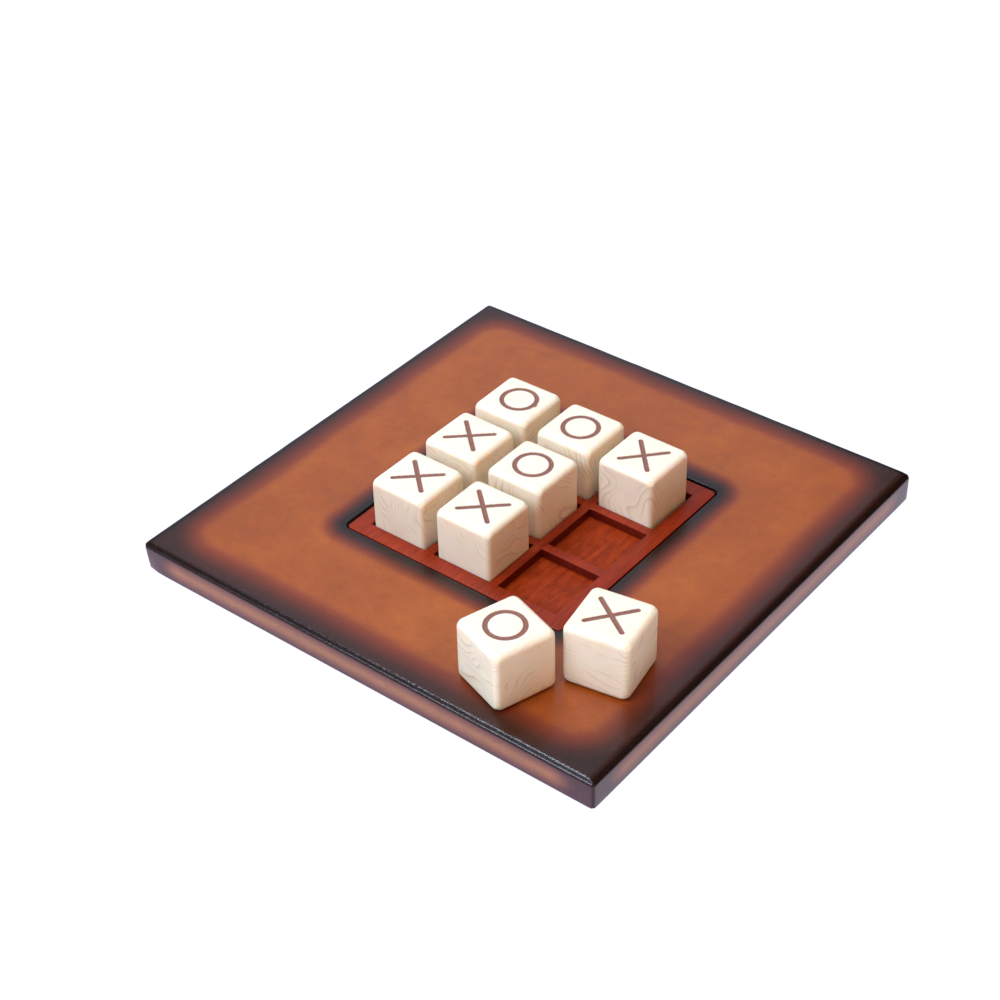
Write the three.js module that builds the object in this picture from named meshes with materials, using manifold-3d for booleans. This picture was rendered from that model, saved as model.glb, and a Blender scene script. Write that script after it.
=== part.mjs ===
// A tic-tac-toe game: a square board covered in leather, a wooden tray of nine pockets let into its middle,
// and nine cubes with an engraved cross or ring, seven in pockets and two standing free on the leather.
// Millimetres, +Z up, origin under the middle of the board. +X runs along the near left edge towards the near
// corner, and +Y from there towards the right corner.
import * as THREE from "three";
import { RoundedBoxGeometry } from "three/addons/geometries/RoundedBoxGeometry.js";
import { mergeVertices } from "three/addons/utils/BufferGeometryUtils.js";
import Module from "manifold-3d";

const wasm = await Module();
wasm.setup();

// Driving sizes of the board
const boardSide = 245;
const boardHeight = 13.5;
const boardCornerRadius = 2.5;
const boardEdgeRadius = 1.2;
const leatherThickness = 1.2;
const hemWidth = 14;

// Driving sizes of the cubes and their marks
const cubeSide = 29.4;
const cubeEdgeRadius = 2.5;
const strokeWidth = 2;
const crossWidth = 16.4;
const crossHeight = 15;
const ringRadius = 8.1;
const grooveDepth = 1.1;
const fillSink = 0.5;

// Driving sizes of the tray
const pocketDepth = 4.7;
const barWidth = 4.4;
const rimWidth = 7.8;
const trayFloorThickness = 2.4;
const traySink = 0.6;

// Clearances
const glueGap = 0.3;
const seatGap = 0.3;
const fillGap = 0.3;
const pocketClearance = 0.9;
const recessClearance = 0.4;
const openingClearance = 1;
const hemClearance = 0.4;

// How far a cutting solid runs past the face that it opens
const overrun = 1;

// Curve steps
const cornerSteps = 3;
const edgeSteps = 4;
const cubeEdgeSteps = 3;
const ringSteps = 18;
const strokeEndSteps = 3;

// Pockets in a row, and in a column
const pocketsAcross = 3;

// Seated cubes: the pocket's column and row from the tray's middle, how far the cube lies off the pocket's
// middle in shares of the clearance round it, its turn in degrees, and how far its mark lies off the middle of
// its top in shares of a stroke's width.
const seatedCubeShares = [
  { mark: "x", column: -1, row: -1, offX: 0, offY: -0.8, turn: -0.3, markX: 0.15, markY: 0 },
  { mark: "x", column: 0, row: -1, offX: 0.8, offY: -0.8, turn: 0.1, markX: 0.18, markY: 0.06 },
  { mark: "x", column: -1, row: 0, offX: -0.7, offY: 0.7, turn: -0.6, markX: 0.1, markY: 0.06 },
  { mark: "o", column: 0, row: 0, offX: -0.13, offY: 0.22, turn: 0, markX: 0.07, markY: 0.08 },
  { mark: "o", column: -1, row: 1, offX: -0.7, offY: 0.65, turn: 0.6, markX: 0.3, markY: 0.22 },
  { mark: "o", column: 0, row: 1, offX: 0, offY: 0.27, turn: 0.2, markX: 0.08, markY: -0.12 },
  { mark: "x", column: 1, row: 1, offX: -0.78, offY: -0.62, turn: 89.7, markX: -0.04, markY: -0.18 },
];

// Free cubes: the place on the leather from the tray's near corner, in shares of a cube's side, the turn, and the
// mark's place as above.
const freeCubeShares = [
  { mark: "o", awayX: 0.033, awayY: -1.254, turn: -18.1, markX: 0.01, markY: 0 },
  { mark: "x", awayX: 1.051, awayY: -0.251, turn: 9.9, markX: 0.04, markY: 0.1 },
];

// Sizes that follow from those above
const pocketSide = cubeSide + 2 * pocketClearance;
const pocketPitch = pocketSide + barWidth;
const traySide = pocketsAcross * pocketSide + (pocketsAcross - 1) * barWidth + 2 * rimWidth;
const trayTop = boardHeight - traySink;
const pocketFloor = trayTop - pocketDepth;
const trayFloorBottom = pocketFloor - trayFloorThickness;
const openingSide = traySide + 2 * openingClearance;
const recessSide = traySide + 2 * recessClearance;
const recessFloor = trayFloorBottom - glueGap;
const coreSide = boardSide - 2 * (leatherThickness + glueGap);
const coreBottom = leatherThickness + glueGap;
const coreTop = boardHeight - leatherThickness - glueGap;
const hemOpeningSide = boardSide - 2 * hemWidth;
const liningSide = hemOpeningSide - 2 * hemClearance;

const leather = new THREE.MeshStandardMaterial({ color: 0xb2653b, roughness: 0.35, metalness: 0 });
const board = new THREE.MeshStandardMaterial({ color: 0x9c7b58, roughness: 0.85, metalness: 0 });
const suede = new THREE.MeshStandardMaterial({ color: 0x4a2e24, roughness: 0.95, metalness: 0 });
const floorWood = new THREE.MeshStandardMaterial({ color: 0xa5451e, roughness: 0.5, metalness: 0 });
const gridWood = new THREE.MeshStandardMaterial({ color: 0x9a3c22, roughness: 0.45, metalness: 0 });
const ivoryResin = new THREE.MeshStandardMaterial({ color: 0xf6ecdc, roughness: 0.3, metalness: 0 });
const brownFill = new THREE.MeshStandardMaterial({ color: 0x8a5a4e, roughness: 0.6, metalness: 0 });

// A closed geometry as a solid that can be joined and cut.
function solid(geometry) {
  const bare = geometry.clone();
  for (const name of ["normal", "uv"]) bare.deleteAttribute(name);
  const merged = mergeVertices(bare);
  return new wasm.Manifold(
    new wasm.Mesh({
      numProp: 3,
      vertProperties: new Float32Array(merged.attributes.position.array),
      triVerts: new Uint32Array(merged.index.array),
    }),
  );
}

// A named mesh made of a solid.
function meshOf(name, body, material) {
  const { vertProperties, triVerts } = body.getMesh();
  const geometry = new THREE.BufferGeometry();
  geometry.setAttribute("position", new THREE.BufferAttribute(new Float32Array(vertProperties), 3));
  geometry.setIndex(new THREE.BufferAttribute(new Uint32Array(triVerts), 1));
  geometry.computeVertexNormals();
  const mesh = new THREE.Mesh(geometry, material);
  mesh.name = name;
  return mesh;
}

// The outline of a square with round corners, about the origin.
function squareOutline(side, radius) {
  const half = side / 2;
  const inner = half - radius;
  const shape = new THREE.Shape();
  shape.moveTo(-inner, -half);
  shape.lineTo(inner, -half);
  shape.absarc(inner, -inner, radius, -Math.PI / 2, 0, false);
  shape.lineTo(half, inner);
  shape.absarc(inner, inner, radius, 0, Math.PI / 2, false);
  shape.lineTo(-inner, half);
  shape.absarc(-inner, inner, radius, Math.PI / 2, Math.PI, false);
  shape.lineTo(-half, -inner);
  shape.absarc(-inner, -inner, radius, Math.PI, 1.5 * Math.PI, false);
  return shape;
}

// A square slab with round upright corners, from one height to another.
function cornerSlab(side, radius, bottom, top) {
  const geometry = new THREE.ExtrudeGeometry(squareOutline(side, radius), {
    depth: top - bottom,
    bevelEnabled: false,
    curveSegments: cornerSteps,
  });
  return solid(geometry.translate(0, 0, bottom));
}

// The same slab with its upper and lower edges rounded too.
function softSlab(side, radius, edge, bottom, top) {
  const geometry = new THREE.ExtrudeGeometry(squareOutline(side - 2 * edge, radius - edge), {
    depth: top - bottom - 2 * edge,
    bevelThickness: edge,
    bevelSize: edge,
    bevelSegments: edgeSteps,
    curveSegments: cornerSteps,
  });
  return solid(geometry.translate(0, 0, bottom + edge));
}

// A square block with sharp corners, centred on x and y.
function block(side, bottom, top, x = 0, y = 0) {
  const geometry = new THREE.BoxGeometry(side, side, top - bottom);
  return solid(geometry.translate(x, y, (bottom + top) / 2));
}

// The middle of a pocket, counted in columns and rows from the tray's middle.
function pocketMiddle(column, row) {
  return new THREE.Vector2(column * pocketPitch, row * pocketPitch);
}

// The panel under the leather, with the recess that takes the tray.
function boardCore() {
  const radius = boardCornerRadius - leatherThickness - glueGap;
  const panel = cornerSlab(coreSide, radius, coreBottom, coreTop);
  const recess = block(recessSide, recessFloor, coreTop + overrun);
  return meshOf("board_core", panel.subtract(recess), board);
}

// One skin over the top and the sides, cut out round the tray and turned under the board as a hem.
function leatherCover() {
  const skin = softSlab(boardSide, boardCornerRadius, boardEdgeRadius, 0, boardHeight);
  const hollowSide = boardSide - 2 * leatherThickness;
  const hollowRadius = boardCornerRadius - leatherThickness;
  const hollow = cornerSlab(hollowSide, hollowRadius, leatherThickness, boardHeight - leatherThickness);
  const opening = block(openingSide, boardHeight - leatherThickness - overrun, boardHeight + overrun);
  const underside = block(hemOpeningSide, -overrun, leatherThickness + overrun);
  return meshOf("leather_cover", skin.subtract(hollow).subtract(opening).subtract(underside), leather);
}

// The soft panel that fills the underside inside the hem.
function undersideLining() {
  return meshOf("underside_lining", block(liningSide, 0, leatherThickness), suede);
}

// The panel that the cubes stand on.
function trayFloor() {
  return meshOf("tray_floor", block(traySide, trayFloorBottom, pocketFloor), floorWood);
}

// The lattice over the floor panel, one piece with a square window for each pocket.
function trayGrid() {
  const bottom = pocketFloor + glueGap;
  let lattice = block(traySide, bottom, trayTop);
  const middle = (pocketsAcross - 1) / 2;
  for (let column = 0; column < pocketsAcross; column++) {
    for (let row = 0; row < pocketsAcross; row++) {
      const at = pocketMiddle(column - middle, row - middle);
      lattice = lattice.subtract(block(pocketSide, bottom - overrun, trayTop + overrun, at.x, at.y));
    }
  }
  return meshOf("tray_grid", lattice, gridWood);
}

// A straight stroke with round ends about the origin, turned by an angle, from one height to another.
function stroke(length, width, angle, bottom, top) {
  const half = length / 2;
  const radius = width / 2;
  const shape = new THREE.Shape();
  shape.moveTo(-half, -radius);
  shape.lineTo(half, -radius);
  shape.absarc(half, 0, radius, -Math.PI / 2, Math.PI / 2, false);
  shape.lineTo(-half, radius);
  shape.absarc(-half, 0, radius, Math.PI / 2, 1.5 * Math.PI, false);
  const geometry = new THREE.ExtrudeGeometry(shape, {
    depth: top - bottom,
    bevelEnabled: false,
    curveSegments: strokeEndSteps,
  });
  return solid(geometry.rotateZ(angle).translate(0, 0, bottom));
}

// Two crossing strokes of the given width.
function cross(width, bottom, top) {
  const length = Math.hypot(crossWidth, crossHeight);
  const angle = Math.atan2(crossHeight, crossWidth);
  return stroke(length, width, angle, bottom, top).add(stroke(length, width, -angle, bottom, top));
}

// A flat ring of the given width.
function ring(width, bottom, top) {
  const shape = new THREE.Shape();
  shape.absarc(0, 0, ringRadius + width / 2, 0, 2 * Math.PI, false);
  const hole = new THREE.Path();
  hole.absarc(0, 0, ringRadius - width / 2, 0, 2 * Math.PI, true);
  shape.holes.push(hole);
  const geometry = new THREE.ExtrudeGeometry(shape, {
    depth: top - bottom,
    bevelEnabled: false,
    curveSegments: ringSteps,
  });
  return solid(geometry.translate(0, 0, bottom));
}

const markShapes = { x: cross, o: ring };

// The mark as a solid of a stroke's width between two heights, off the cube's middle by shares of that width.
function markSolid(mark, width, bottom, top, markX, markY) {
  return markShapes[mark](width, bottom, top).translate([markX * strokeWidth, markY * strokeWidth, 0]);
}

// A rounded cube standing on the plane z = 0, with its mark cut into the top as a groove.
function cubeBody(name, mark, markX, markY) {
  const geometry = new RoundedBoxGeometry(cubeSide, cubeSide, cubeSide, cubeEdgeSteps, cubeEdgeRadius);
  const cube = solid(geometry.translate(0, 0, cubeSide / 2));
  const groove = markSolid(mark, strokeWidth, cubeSide - grooveDepth, cubeSide + overrun, markX, markY);
  return meshOf(name, cube.subtract(groove), ivoryResin);
}

// The colour that fills the lower part of the groove.
function cubeFill(name, mark, markX, markY) {
  const bottom = cubeSide - grooveDepth + fillGap;
  const width = strokeWidth - 2 * fillGap;
  return meshOf(name, markSolid(mark, width, bottom, cubeSide - fillSink, markX, markY), brownFill);
}

// A cube and its fill, standing at a place and turned about the upright axis.
function markedCube({ mark, turn, markX, markY }, number, x, y, z) {
  const group = new THREE.Group();
  group.add(cubeBody(`cube_${mark}_${number}`, mark, markX, markY));
  group.add(cubeFill(`fill_${mark}_${number}`, mark, markX, markY));
  group.position.set(x, y, z);
  group.rotation.z = THREE.MathUtils.degToRad(turn);
  return group;
}

// All nine cubes, numbered apart for each mark.
function cubes() {
  const group = new THREE.Group();
  const count = { x: 0, o: 0 };
  for (const cube of seatedCubeShares) {
    count[cube.mark] += 1;
    const off = new THREE.Vector2(cube.offX, cube.offY).multiplyScalar(pocketClearance);
    const at = pocketMiddle(cube.column, cube.row).add(off);
    group.add(markedCube(cube, count[cube.mark], at.x, at.y, pocketFloor + seatGap));
  }
  for (const cube of freeCubeShares) {
    count[cube.mark] += 1;
    const x = traySide / 2 + cube.awayX * cubeSide;
    const y = -traySide / 2 + cube.awayY * cubeSide;
    group.add(markedCube(cube, count[cube.mark], x, y, boardHeight + seatGap));
  }
  return group;
}

const game = new THREE.Group();
game.add(boardCore(), leatherCover(), undersideLining(), trayFloor(), trayGrid(), cubes());

export default game;
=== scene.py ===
"""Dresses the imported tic-tac-toe game: leather board, mahogany tray and nine marbled cubes.

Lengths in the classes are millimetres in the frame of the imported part; meshes are written in metres. The frame's
origin is under the middle of the board, +Z is up, +X runs along the near left edge towards the near corner.
"""

import functools
import logging
import math
from dataclasses import dataclass, field
from enum import Enum
from typing import Any, Callable, ClassVar, Mapping, Optional, Sequence

import bmesh
import bpy
import numpy as np
from mathutils import Matrix, Vector


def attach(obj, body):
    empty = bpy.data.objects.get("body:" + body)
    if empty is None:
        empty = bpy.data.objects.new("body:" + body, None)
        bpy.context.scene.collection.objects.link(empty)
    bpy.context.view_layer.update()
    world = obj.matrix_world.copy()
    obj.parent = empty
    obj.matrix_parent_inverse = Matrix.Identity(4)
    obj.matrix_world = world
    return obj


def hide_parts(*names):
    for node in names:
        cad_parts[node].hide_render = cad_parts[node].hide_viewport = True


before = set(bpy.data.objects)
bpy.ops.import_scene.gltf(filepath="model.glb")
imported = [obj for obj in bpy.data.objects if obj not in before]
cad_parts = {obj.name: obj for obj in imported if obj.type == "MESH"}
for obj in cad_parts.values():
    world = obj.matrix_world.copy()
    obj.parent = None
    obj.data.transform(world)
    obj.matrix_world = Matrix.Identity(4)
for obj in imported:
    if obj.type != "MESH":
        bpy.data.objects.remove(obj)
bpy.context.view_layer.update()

LOG = logging.getLogger("tic_tac_toe")
MM = 0.001

Adder = Callable[..., bpy.types.Node]
Span = tuple[float, float]
Stops = tuple[tuple[float, str], ...]


def linear(colour: str) -> tuple[float, float, float, float]:
    """Turns an sRGB hex colour into linear RGBA.

    Args:
        colour: The colour as "#rrggbb".

    Returns:
        Red, green, blue and alpha in linear light.
    """
    parts = [int(colour[i : i + 2], 16) / 255 for i in (1, 3, 5)]
    out = [c / 12.92 if c <= 0.04045 else ((c + 0.055) / 1.055) ** 2.4 for c in parts]
    return (out[0], out[1], out[2], 1.0)


def add_node(
    tree: bpy.types.NodeTree,
    kind: str,
    *values: Any,
    inputs: Optional[Mapping[str, Any]] = None,
    stops: Sequence[tuple[float, str]] = (),
    **settings: Any,
) -> bpy.types.Node:
    """Adds a node with its settings and links.

    A value is a number, a vector, a colour, an output socket, or a node, which then feeds its first output in use.

    Args:
        tree: The node tree.
        kind: The node's type name, without the words ShaderNode, and its operation after a space if it has one.
        *values: What goes into the inputs in use, in their order.
        inputs: Names of further inputs and what goes into them.
        stops: Places and hex colours of a colour ramp.
        **settings: Properties of the node.

    Returns:
        The new node.
    """
    kind, _, operation = kind.partition(" ")
    node = tree.nodes.new("ShaderNode" + kind)
    if operation:
        node.operation = operation
    for key, value in settings.items():
        setattr(node, key, value)
    pairs = list(zip([socket for socket in node.inputs if socket.enabled], values))
    for socket, value in pairs + [(node.inputs[key], value) for key, value in (inputs or {}).items()]:
        if isinstance(value, bpy.types.Node):
            value = next(output for output in value.outputs if output.enabled)
        if isinstance(value, bpy.types.NodeSocket):
            tree.links.new(value, socket)
        else:
            socket.default_value = linear(value) if isinstance(value, str) else value
    for i, (place, colour) in enumerate(stops):
        ramp = node.color_ramp.elements
        element = ramp[i] if i < 2 else ramp.new(place)
        element.position, element.color = place, linear(colour)
    return node


def per(size: float) -> float:
    """Scale of a pattern whose features are this many millimetres wide."""
    return 1 / (size * MM)


def drawn_out(
    add: Adder, place: Any, size: Sequence[float], detail: float, twist: float = 0.0, shift: Sequence[float] = (0, 0, 0)
) -> bpy.types.Node:
    """Adds noise that is drawn out along the axes.

    Args:
        add: Adds a node to the material.
        place: The place that it reads.
        size: Size of its features along x, y and z, in millimetres.
        detail: Detail of the noise.
        twist: How much it is distorted.
        shift: Moves it, so two pieces don't show the same lines.

    Returns:
        The noise.
    """
    drawn = add("Mapping", place, shift, inputs={"Scale": tuple(per(s) for s in size)})
    return add("TexNoise", drawn, 1.0, detail, inputs={"Distortion": twist})


def outside(add: Adder, place: Any, half: float, rounding: float, shift: Span = (0.0, 0.0)) -> bpy.types.Node:
    """Adds how far a point is outside a square with round corners, in metres, and negative inside it.

    With the point folded into one corner and the inner square's half side taken off, that is the length of the
    positive parts, plus the larger part where both are negative, minus the rounding.

    Args:
        add: Adds a node to the material.
        place: The point.
        half: Half the square's side, in millimetres.
        rounding: Radius of its corners.
        shift: Where its middle lies.

    Returns:
        The distance.
    """
    inner = (half - rounding) * MM
    moved = add("VectorMath MULTIPLY_ADD", place, (1, 1, 0), (-shift[0] * MM, -shift[1] * MM, 0))
    over = add("VectorMath SUBTRACT", add("VectorMath ABSOLUTE", moved), (inner, inner, 0))
    far = add("VectorMath LENGTH", add("VectorMath MAXIMUM", over, (0, 0, 0)))
    x, y, _ = add("SeparateXYZ", over).outputs
    near = add("Math MINIMUM", add("Math MAXIMUM", x, y), 0.0)
    return add("Math SUBTRACT", add("Math ADD", far, near), rounding * MM)


def fade(add: Adder, distance: Any, span: Span, sway: Any = 0.0, stray: float = 1.0) -> bpy.types.Node:
    """Adds a fade: 1 at the near end of a span of distances, falling evenly to 0 at its far end.

    Args:
        add: Adds a node to the material.
        distance: The distance, in metres.
        span: Both ends, in millimetres.
        sway: Lets the fade wander to and fro.
        stray: Share of the sway that it takes.

    Returns:
        The fade.
    """
    return add("MapRange", add("Math MULTIPLY_ADD", sway, stray, distance), span[0] * MM, span[1] * MM, 1.0, 0.0)


class Finish:
    """A finish that turns into one node material, made once."""

    shader: ClassVar[str] = "BsdfPrincipled"
    name: str = "finish"

    def build(self, tree: bpy.types.NodeTree) -> dict[str, Any]:
        """Adds the pattern's nodes and returns what goes into the shader's sockets."""
        raise NotImplementedError

    @functools.cache
    def material(self) -> bpy.types.Material:
        """Makes the Blender material on the first call.

        Returns:
            The material.
        """
        made = bpy.data.materials.new(self.name)
        made.use_nodes = True
        made.node_tree.nodes.clear()
        shader = add_node(made.node_tree, self.shader, inputs=self.build(made.node_tree))
        add_node(made.node_tree, "OutputMaterial", shader)
        return made


@dataclass(frozen=True)
class BurnishedLeather(Finish):
    """Vegetable-tanned cowhide, dyed tan, hand-burnished dark along every edge and waxed.

    The wax gives a soft gloss that mirrors what stands on it; the dye gives a cloudy tan, and the burnishing a rim
    that goes through red-brown to a cool near-black.
    """

    name: str = "waxed_burnished_leather"
    board_half: float = 122.5
    opening_half: float = 60.0
    opening_round: float = 3.4
    # The sides' colours take over from the top's between these heights
    side_top: Span = (12.2, 11.2)
    # The rubbed rim is off centre and rounder than the board; along the very edge runs a narrow inked line
    rim_round: float = 27.0
    rim_shift: Span = (-1.35, 1.9)
    rim_fade: Span = (1.3, 19.3)
    rim_strength: float = 0.92
    edge_round: float = 2.5
    edge_fade: Span = (2.4, 6.5)
    edge_stray: float = 0.3
    # The darker zone round the opening
    halo_fade: Span = (2.0, 13.8)
    halo_stray: float = 0.5
    halo_power: float = 1.4
    halo_depth: float = 1.05
    # The tan stripe along the sides
    stripe_height: float = 6.6
    stripe_reach: float = 101.0
    stripe_taper: float = 0.5
    stripe_fade: Span = (0.8, 6.9)
    # The burn wanders over some centimetres, as the hand did; clouds and blots are those of dye on cowhide. Its pores
    # are about 0.15 mm wide and its creases 1 mm apart, too fine to show, so they are drawn at 0.75 and 2.6 mm.
    wander: float = 1.7
    wander_size: float = 38.0
    cloud_size: float = 26.0
    blot_size: float = 5.0
    pore_size: float = 0.75
    crease_size: float = 2.6
    noise_span: Span = (0.3, 0.7)
    speckle: Span = (0.86, 1.10)
    mottle: Span = (0.92, 1.08)
    smoke: float = 0.16
    tan: Stops = ((0.3, "#904611"), (0.5, "#984b13"), (0.7, "#a05216"))
    clear_rate: float = 4.0
    burn: Stops = (
        *((0.0, "#984c1c"), (0.17, "#8a4018"), (0.28, "#7e3615"), (0.39, "#702c12"), (0.5, "#612610")),
        *((0.61, "#512010"), (0.72, "#3f1a0d"), (0.92, "#2f1408"), (1.0, "#190a05")),
    )
    # Painted shade over the near corner, where the leather lies in shade beside the free cubes
    corner_painted_shade: str = "#e4dad6"
    corner_shade_span: Span = (120.0, 172.0)
    corner_shade_stray: float = 3.0
    side_dye: Stops = ((0.0, "#9a6144"), (0.4, "#7c463a"), (0.75, "#512832"), (1.0, "#452130"))
    seam_dye: str = "#1c0c0a"
    seam_fade: Span = (0.25, 0.8)
    pore_depth: float = 0.35
    pebble: float = 0.45
    bump: float = 0.18
    bump_height: float = 0.35
    gloss: Span = (0.25, 0.37)
    specular: float = 0.28
    coat: float = 0.28
    coat_roughness: float = 0.13

    def build(self, tree: bpy.types.NodeTree) -> dict[str, Any]:
        """Adds the nodes: the dyed and burnished top, the sides, mottle, and the grain of pores and creases.

        Args:
            tree: The material's node tree.

        Returns:
            Names of the shader's sockets and what goes into them.
        """
        add = functools.partial(add_node, tree)
        place = add("TexCoord").outputs["Object"]
        x, y, z = add("SeparateXYZ", place).outputs
        # A noise takes its place, scale, detail and roughness; a map range its value, two ends and what they become
        wander = add("Math SUBTRACT", add("TexNoise", place, per(self.wander_size), 2.0), 0.5)
        sway = add("Math MULTIPLY", wander, 2 * self.wander * MM)
        edge = add("Math MULTIPLY", outside(add, place, self.board_half, self.edge_round), -1.0)
        inked = fade(add, edge, self.edge_fade, sway, self.edge_stray)
        top = self.top(add, place, sway, inked)
        # Painted shade: towards the near corner the tan is multiplied deeper and redder, but not on the inked edge
        unshaded = fade(add, add("Math SUBTRACT", x, y), self.corner_shade_span, sway, self.corner_shade_stray)
        second = add("Math MULTIPLY", add("Math SUBTRACT", 1.0, unshaded), add("Math SUBTRACT", 1.0, inked))
        top = add("Mix", second, top, self.corner_painted_shade, data_type="RGBA", blend_type="MULTIPLY")
        below_top = add("MapRange", z, self.side_top[0] * MM, self.side_top[1] * MM)
        dyed = add("Mix", below_top, top, self.sides(add, (x, y, z), sway), data_type="RGBA")
        shades = [
            add("MapRange", add("TexNoise", place, per(size), 3.0, rough), *self.noise_span, *tones)
            for size, rough, tones in ((self.pore_size, 0.65, self.speckle), (self.blot_size, 0.6, self.mottle))
        ]
        shade = add("Math MULTIPLY", *shades)
        colour = add("Mix", 1.0, dyed, shade, data_type="RGBA", blend_type="MULTIPLY")

        pores = add("TexVoronoi", place, per(self.pore_size))
        creases = add("TexNoise", place, per(self.crease_size), 6.0, 0.62)
        grain = add("Math MULTIPLY_ADD", pores, self.pore_depth, creases)
        grain = add("Math MULTIPLY", grain, add("Math MULTIPLY_ADD", inked, self.pebble, 1.0))
        bump = add("Bump", self.bump, self.bump_height * MM, inputs={"Height": grain})
        return {
            "Base Color": colour,
            "Roughness": add("MapRange", add("TexNoise", place, per(self.blot_size), 3.0), 0.0, 1.0, *self.gloss),
            "Normal": bump,
            "Coat Weight": self.coat,
            "Coat Roughness": self.coat_roughness,
            "Coat Normal": bump,
            "Specular IOR Level": self.specular,
        }

    def top(self, add: Adder, place: Any, sway: Any, inked: Any) -> bpy.types.Node:
        """Adds the colour of the top: cloudy tan where nothing is burnt, and the burn's colours elsewhere.

        The burn is the largest of the rim, the halo round the opening and the inked edge, with a little smoke in it.

        Args:
            add: Adds a node to the material.
            place: The place on the leather.
            sway: How far the burn wanders there.
            inked: The inked edge, from 0 to 1.

        Returns:
            The colour.
        """
        rim = add("Math MULTIPLY", outside(add, place, self.board_half, self.rim_round, self.rim_shift), -1.0)
        rim = add("Math MULTIPLY", fade(add, rim, self.rim_fade, sway), self.rim_strength)
        halo = outside(add, place, self.opening_half, self.opening_round)
        halo = add("Math POWER", fade(add, halo, self.halo_fade, sway, self.halo_stray), self.halo_power)
        burn = add("Math MAXIMUM", rim, add("Math MULTIPLY", halo, self.halo_depth))
        burn = add("Math MAXIMUM", burn, inked)
        smoke = add("Math SUBTRACT", add("TexNoise", place, per(self.blot_size), 4.0, 0.6), 0.5)
        smoked = add("Math MULTIPLY_ADD", add("Math MULTIPLY", smoke, self.smoke), burn, burn)
        burnt = add("ValToRGB", smoked, stops=self.burn)
        clouds = add("TexNoise", place, per(self.cloud_size), 5.0, 0.55, inputs={"Distortion": 0.4})
        shown = add("Math MINIMUM", add("Math MULTIPLY", burn, self.clear_rate), 1.0)
        clear = add("Math SUBTRACT", 1.0, shown)
        return add("Mix", clear, burnt, add("ValToRGB", clouds, stops=self.tan), data_type="RGBA")

    def sides(self, add: Adder, xyz: Sequence[Any], sway: Any) -> bpy.types.Node:
        """Adds the colour of the sides, which are dark but for a tan stripe along the middle of their height.

        The stripe ends short of each corner and has round ends: what counts is the distance to its middle line.
        A dark seam runs down each corner, where the distances along x and y are equal.

        Args:
            add: Adds a node to the material.
            xyz: The place on the leather, axis by axis.
            sway: How far the burn wanders there.

        Returns:
            The colour.
        """
        across, away = (add("Math ABSOLUTE", axis) for axis in xyz[:2])
        beyond = add("Math SUBTRACT", add("Math MINIMUM", across, away), self.stripe_reach * MM)
        beyond = add("Math MULTIPLY", add("Math MAXIMUM", beyond, 0.0), self.stripe_taper)
        above = add("Math SUBTRACT", xyz[2], self.stripe_height * MM)
        off_stripe = add("VectorMath LENGTH", add("CombineXYZ", beyond, above))
        dark = add("Math SUBTRACT", 1.0, fade(add, off_stripe, self.stripe_fade, sway, self.edge_stray))
        seam = fade(add, add("Math ABSOLUTE", add("Math SUBTRACT", across, away)), self.seam_fade)
        return add("Mix", seam, add("ValToRGB", dark, stops=self.side_dye), self.seam_dye, data_type="RGBA")


@dataclass(frozen=True)
class Mahogany(Finish):
    """Quarter-sawn mahogany, oiled or satin-lacquered, its grain along +Y.

    Straight red-brown grain with fine dark pore dashes gives the tray its warm, slightly streaked look. Below a given
    height the walls are darker: painted shade for the walls down in the pockets.
    """

    name: str = "mahogany"
    tones: Stops = ((0.3, "#7a2408"), (0.5, "#88290a"), (0.72, "#96310c"))
    # Width and length of the stripes of grain, of the ribbon figure and of the pores, which are about 0.2 mm wide in
    # real mahogany, too fine to show in the render, and so are drawn 0.35 mm wide
    stripe: Span = (2.2, 60.0)
    figure: Span = (9.0, 18.0)
    pore: Span = (0.35, 5.0)
    figure_tones: Stops = ((0.36, "#ece6e4"), (0.6, "#ffffff"))
    pore_tones: Stops = ((0.34, "#cfc5c2"), (0.44, "#ffffff"))
    pore_strength: float = 0.8
    # Painted shade: below this height the walls take a dark tint, blended in over the next width
    shade_below: float = -1.0
    shade_blend: float = 0.3
    painted_wall_shade: str = "#b48c8a"
    bump: float = 0.12
    bump_height: float = 0.15
    roughness: float = 0.36
    specular: float = 0.24
    shift: tuple[float, float, float] = (0.0, 0.0, 0.0)

    def build(self, tree: bpy.types.NodeTree) -> dict[str, Any]:
        """Adds the nodes: long stripes, a slow ribbon figure, short dark pores and painted shade on the walls.

        Args:
            tree: The material's node tree.

        Returns:
            Names of the shader's sockets and what goes into them.
        """
        add = functools.partial(add_node, tree)
        place = add("TexCoord").outputs["Object"]
        grain = [
            add("ValToRGB", drawn_out(add, place, (*size, size[0]), detail, twist, self.shift), stops=stops)
            for size, detail, twist, stops in (
                (self.stripe, 4.0, 0.3, self.tones),
                (self.figure, 3.0, 0.0, self.figure_tones),
                (self.pore, 2.0, 0.0, self.pore_tones),
            )
        ]
        laid_on = {"data_type": "RGBA", "blend_type": "MULTIPLY"}
        colour = add("Mix", 1.0, grain[0], grain[1], **laid_on)
        colour = add("Mix", self.pore_strength, colour, grain[2], **laid_on)
        # Painted shade on the walls below the given height
        height = add("SeparateXYZ", place).outputs[2]
        cut = add("MapRange", height, self.shade_below * MM, (self.shade_below - self.shade_blend) * MM)
        wall_shaded = add("Mix", 1.0, colour, self.painted_wall_shade, **laid_on)
        return {
            "Base Color": add("Mix", cut, colour, wall_shaded, data_type="RGBA"),
            "Roughness": self.roughness,
            "Normal": add("Bump", self.bump, self.bump_height * MM, inputs={"Height": grain[2]}),
            "Specular IOR Level": self.specular,
        }


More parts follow.
